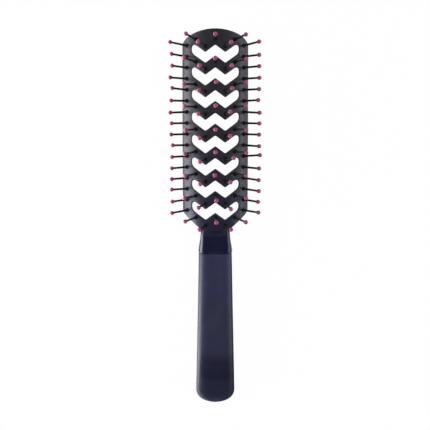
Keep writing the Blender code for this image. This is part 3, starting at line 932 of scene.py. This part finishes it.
def whiteSweep():  # a round floor that curves up into a wall, open at the top
    bpy.ops.object.select_all(action="DESELECT")
    middle = (0, 0, studio["height"] / 2 - studio["under"])
    bpy.ops.mesh.primitive_cylinder_add(
        vertices=96, radius=studio["radius"], depth=studio["height"], end_fill_type="NGON", location=middle)
    sweep = settle(bpy.context.active_object, "white_sweep")
    editing(sweep)
    pickVerts(lambda co: co.z > studio["height"] / 2)
    bpy.ops.mesh.delete(type="ONLY_FACE")
    pickVerts(lambda co: co.z < studio["height"] / 2)
    bpy.ops.mesh.bevel(offset=studio["bend"], segments=14, affect="EDGES")
    bpy.ops.mesh.select_all(action="SELECT")
    bpy.ops.mesh.normals_make_consistent(inside=True)
    doneEditing()
    smoothed(sweep, angle=60)
    return sweep


def sweepPaper():
    material = bpy.data.materials.new("sweep_paper")
    material.use_nodes = True
    tree = material.node_tree
    shader = tree.nodes["Principled BSDF"]
    shader.inputs["Roughness"].default_value = 0.9
    shader.inputs["Specular IOR Level"].default_value = 0.1
    start = Value(tree)
    toCamera, glossy, through = (start.node("ShaderNodeLightPath", {}, {}, ray) for ray in (
        "Is Camera Ray", "Is Glossy Ray", "Is Transmission Ray"))
    place = start.node("ShaderNodeTexCoord", {}, {}, "Object")
    x = along(place, "X")
    y = along(place, "Y")
    between = y.ramped(*studio["tipFlag"], 1, 0) * y.ramped(*studio["buttFlag"])
    edge, fades, end = studio["darkInGloss"]
    # Painted dark reflection: glossy rays see the paper black right of the handle, where no card stands
    darkInGloss = x.ramped(0, edge) * x.ramped(fades, end, 1, 0) * y.ramped(*studio["darkInGlossTop"], 1, 0)
    darkInGloss = darkInGloss * studio["darkInGlossDark"]
    feed(shader, "Base Color", (glossy * darkInGloss).tint(studio["paper"], (0, 0, 0)))
    mirrored = glossy * between * (1 - darkInGloss)
    seen = toCamera.sum("MAXIMUM", toCamera.sum("MAXIMUM", toCamera, mirrored), through)
    glow = start.node("ShaderNodeEmission", {}, {"Color": (1, 1, 1, 1), "Strength": 1.0})
    lit = Value(tree, shader.outputs["BSDF"])
    mixed = start.node("ShaderNodeMixShader", {}, {0: seen * studio["white"], 1: lit, 2: glow})
    tree.links.new(mixed.socket, tree.nodes["Material Output"].inputs["Surface"])
    return material


sweep = whiteSweep()
sweep.data.materials.append(sweepPaper())


def darkRoom():  # with a lit band of ceiling that gets brighter to both sides
    world = bpy.data.worlds.new("studio_world")
    bpy.context.scene.world = world
    world.use_nodes = True
    background = world.node_tree.nodes["Background"]
    start = Value(world.node_tree)
    towards = start.node("ShaderNodeTexCoord", {}, {}, "Generated")
    x = along(towards, "X")
    y = along(towards, "Y")
    band = y.ramped(*studio["band"])
    left = x.ramped(-1, studio["leftFrom"], studio["leftWash"], 0)
    left = left * y.ramped(*studio["leftFade"], 1, studio["leftFaded"])
    right = x.ramped(studio["rightFrom"], studio["rightFull"], 0, studio["rightWash"])
    strength = studio["dark"] + band * (studio["ceiling"] + left + right)
    background.inputs["Color"].default_value = (1, 1, 1, 1)
    world.node_tree.links.new(strength.socket, background.inputs["Strength"])


lamps = {
    "fill": dict(place=(0, 0.05, 1.1), aim=(0, 0, 0), size=(0.9, 0.9), power=8, mirrored=False),
    "left": dict(place=(-0.5, 0.065, 0.1), aim=(0, 0.065, 0.02), size=(0.23, 0.2), power=0.45),
    "left_handle": dict(place=(-0.5, -0.175, 0.1), aim=(0, -0.175, 0.02), size=(0.25, 0.2), power=1.2),
    "left_low": dict(place=(-0.26, 0.065, 0.004), aim=(-0.25, 0.065, 1), size=(0.23, 0.46), power=1.73),
    "left_low_handle": dict(
        place=(-0.26, -0.175, 0.004), aim=(-0.25, -0.175, 1), size=(0.25, 0.46), power=2.53),
    "right": dict(place=(0.55, 0.06, 0.05), aim=(0, 0.06, 0.02), size=(0.48, 0.09), power=0.56),
    "right_handle": dict(place=(0.55, -0.24, 0.16), aim=(0, -0.24, 0.02), size=(0.12, 0.05), power=0.09),
}


def softbox(name, place, aim, size, power, mirrored=True):
    lamp = bpy.data.lights.new(name, "AREA")
    lamp.shape = "RECTANGLE"
    lamp.size, lamp.size_y = size
    lamp.energy = power
    box = bpy.data.objects.new(name, lamp)
    box.location = place
    box.rotation_euler = (Vector(aim) - Vector(place)).to_track_quat("-Z", "Y").to_euler()
    box.visible_glossy = mirrored  # the fill light isn't seen in the gloss
    box.visible_camera = False
    bpy.context.scene.collection.objects.link(box)


darkRoom()
for name, setting in lamps.items():
    softbox(name, **setting)

camera = dict(
    aside=-0.18 * mm, ahead=2.06 * mm, above=492.4 * mm, pitch=5.9,
    lens=68.59, sensor=36, nearest=10 * mm,
)


def photoCamera():
    lens = bpy.data.cameras.new("photo_camera")
    lens.sensor_width = camera["sensor"]
    lens.lens = camera["lens"]
    lens.clip_start = camera["nearest"]
    eye = bpy.data.objects.new("photo_camera", lens)
    eye.location = (camera["aside"], middleY + camera["ahead"], crown + camera["above"])
    eye.rotation_euler = (math.radians(-camera["pitch"]), 0, 0)
    bpy.context.scene.collection.objects.link(eye)
    bpy.context.scene.camera = eye


photoCamera()
bpy.context.scene.view_settings.view_transform = "Standard"

print("done")
